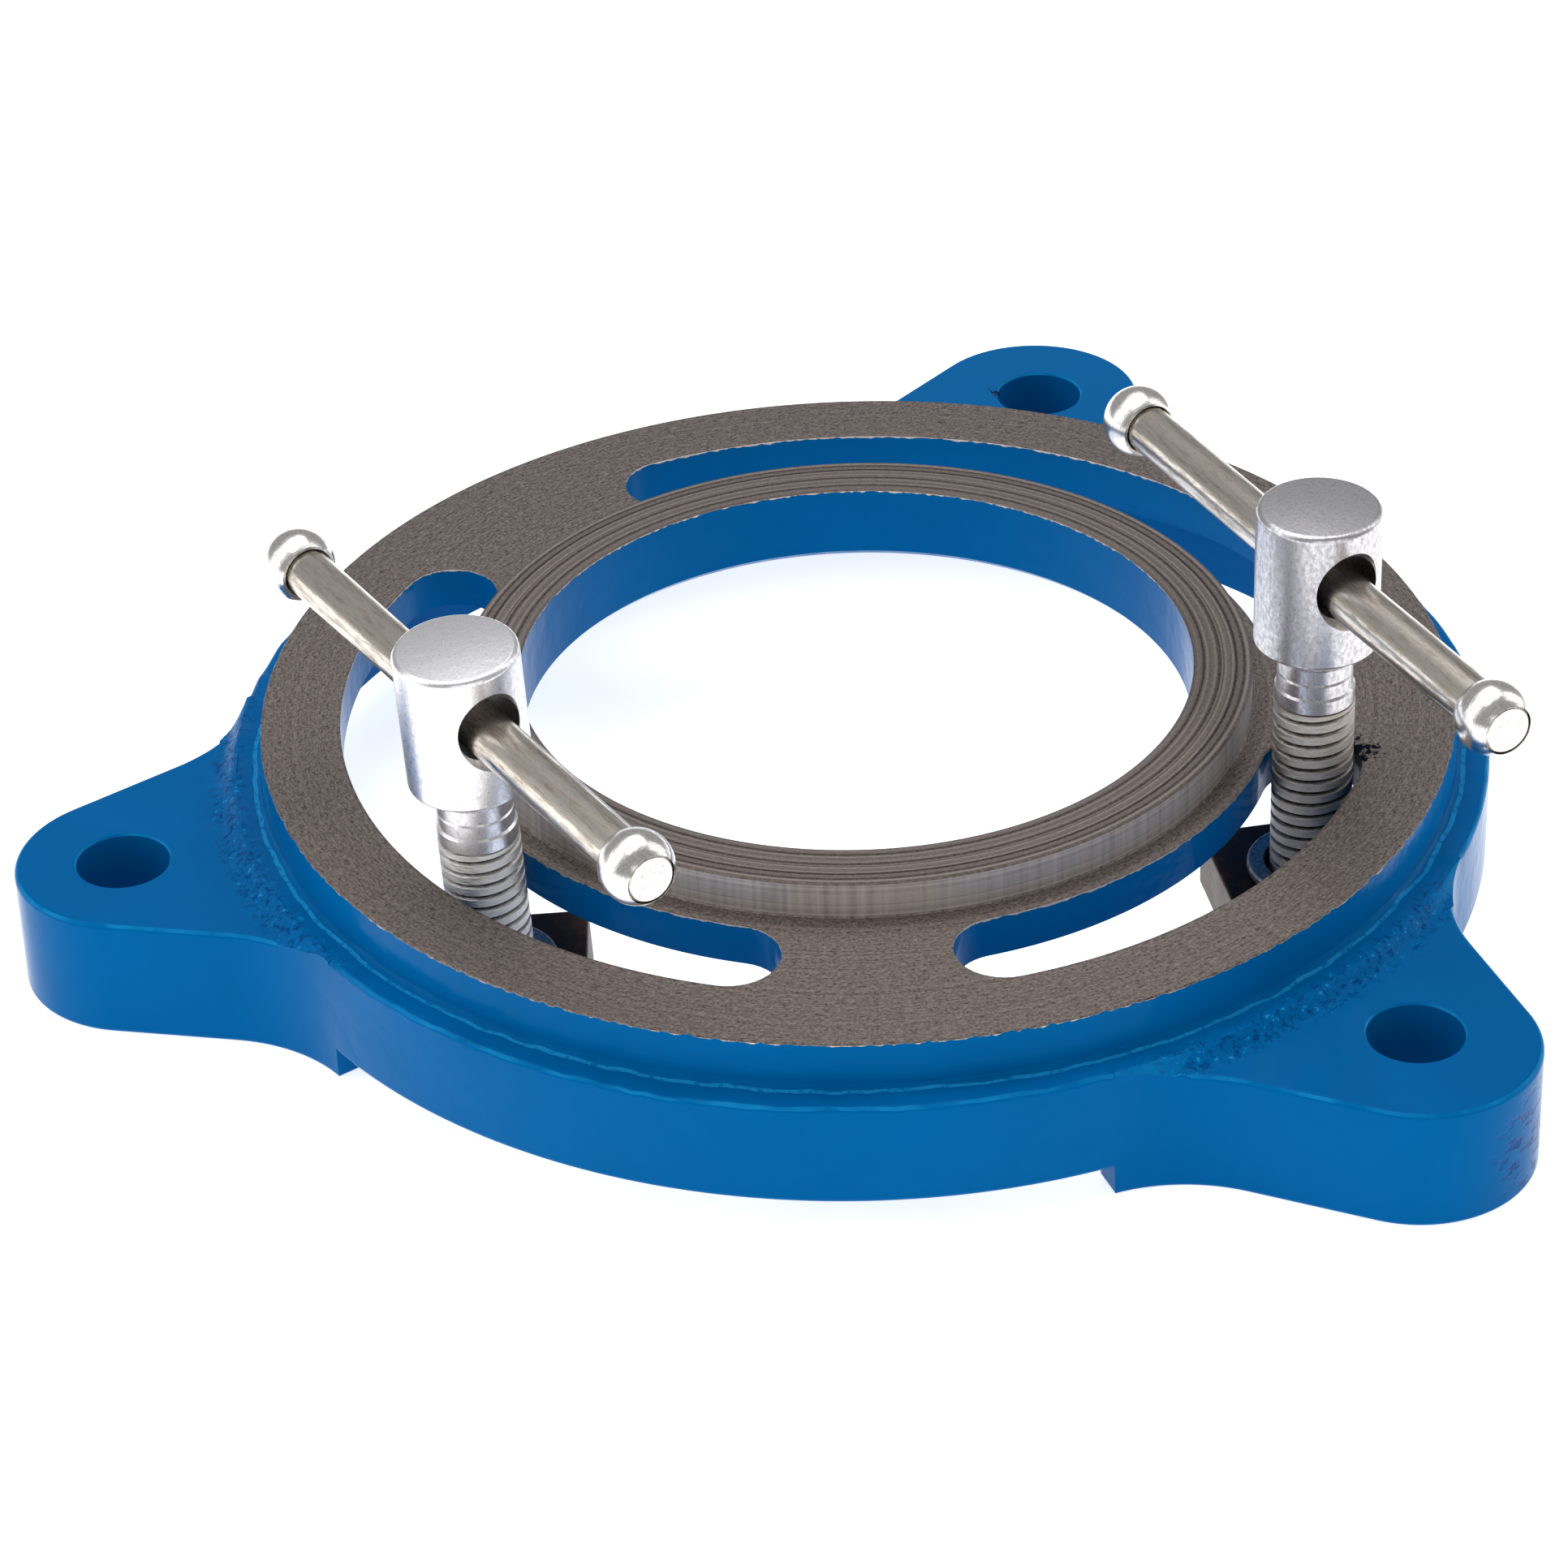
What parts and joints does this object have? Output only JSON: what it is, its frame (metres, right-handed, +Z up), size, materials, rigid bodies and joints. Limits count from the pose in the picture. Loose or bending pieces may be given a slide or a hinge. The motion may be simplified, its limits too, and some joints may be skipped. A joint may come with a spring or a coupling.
{
  "type": "vise swivel base",
  "caption": "Swivel base of a bench vise: a cast ring with bolting lugs and arc slots, and clamp screws with sliding tommy bars that swing round in the slots.",
  "frame": {"origin": "middle of the footprint, on the bench under the lugs", "axes": "+Z up, along the axis the vise turns about; -Y towards the lug that stands in front of the short slot"},
  "size_m": [0.2374, 0.2338, 0.0751],
  "materials": {
    "paint": "gloss enamel over cast iron, machined bright on top",
    "zinc": "bright zinc plate",
    "nickel": "dull nickel plate",
    "steel": "plain steel, lightly oiled",
    "scale": "dark mill scale with a little rust"
  },
  "bodies": {
    "base": {"base_casting": "paint"},
    "right_plate": {"clamp_plate_right": "scale"},
    "right_washer": {"washer_right": "steel"},
    "right_screw": {"clamp_screw_right": "zinc"},
    "right_bar": {"tommy_bar_right": "nickel", "bar_cap_right_near": "zinc", "bar_cap_right_far": "zinc"},
    "left_plate": {"clamp_plate_left": "scale"},
    "left_washer": {"washer_left": "steel"},
    "left_screw": {"clamp_screw_left": "zinc"},
    "left_bar": {"tommy_bar_left": "nickel", "bar_cap_left_near": "zinc", "bar_cap_left_far": "zinc"}
  },
  "joints": [
    {"name": "right_sweep", "type": "hinge", "parent": "base", "child": "right_plate", "pos_m": [0, 0.0174, 0], "axis": [0, 0, 1], "range_deg": [-55.2, 0.6]},
    {"name": "right_turn", "type": "hinge", "parent": "right_plate", "child": "right_washer", "pos_m": [0.03385, -0.04818, 0.02615], "axis": [0, 0, 1], "range_deg": [-720, 360]},
    {"name": "right_thread", "type": "slide", "parent": "right_washer", "child": "right_screw", "axis": [0, 0, 1], "range_m": [-0.00423, 0.00212]},
    {"name": "right_bar_slide", "type": "slide", "parent": "right_screw", "child": "right_bar", "axis": [-0.2874, -0.9578, 0], "range_m": [-0.0333, 0.0392]},
    {"name": "left_sweep", "type": "hinge", "parent": "base", "child": "left_plate", "pos_m": [0, 0.0174, 0], "axis": [0, 0, 1], "range_deg": [-67.2, 35.3]},
    {"name": "left_turn", "type": "hinge", "parent": "left_plate", "child": "left_washer", "pos_m": [-0.07363, 0.02242, 0.02615], "axis": [-0.0522, 0.0036, 0.9986], "range_deg": [0, 1080]},
    {"name": "left_thread", "type": "slide", "parent": "left_washer", "child": "left_screw", "axis": [-0.0522, 0.0036, 0.9986], "range_m": [0, 0.00635]},
    {"name": "left_bar_slide", "type": "slide", "parent": "left_screw", "child": "left_bar", "axis": [-0.1941, -0.981, -0.0066], "range_m": [-0.0355, 0.0371]}
  ],
  "couplings": [
    {"joint": "right_thread", "follows": "right_turn", "m_per_rad": 0.00033688},
    {"joint": "left_thread", "follows": "left_turn", "m_per_rad": 0.00033688}
  ]
}
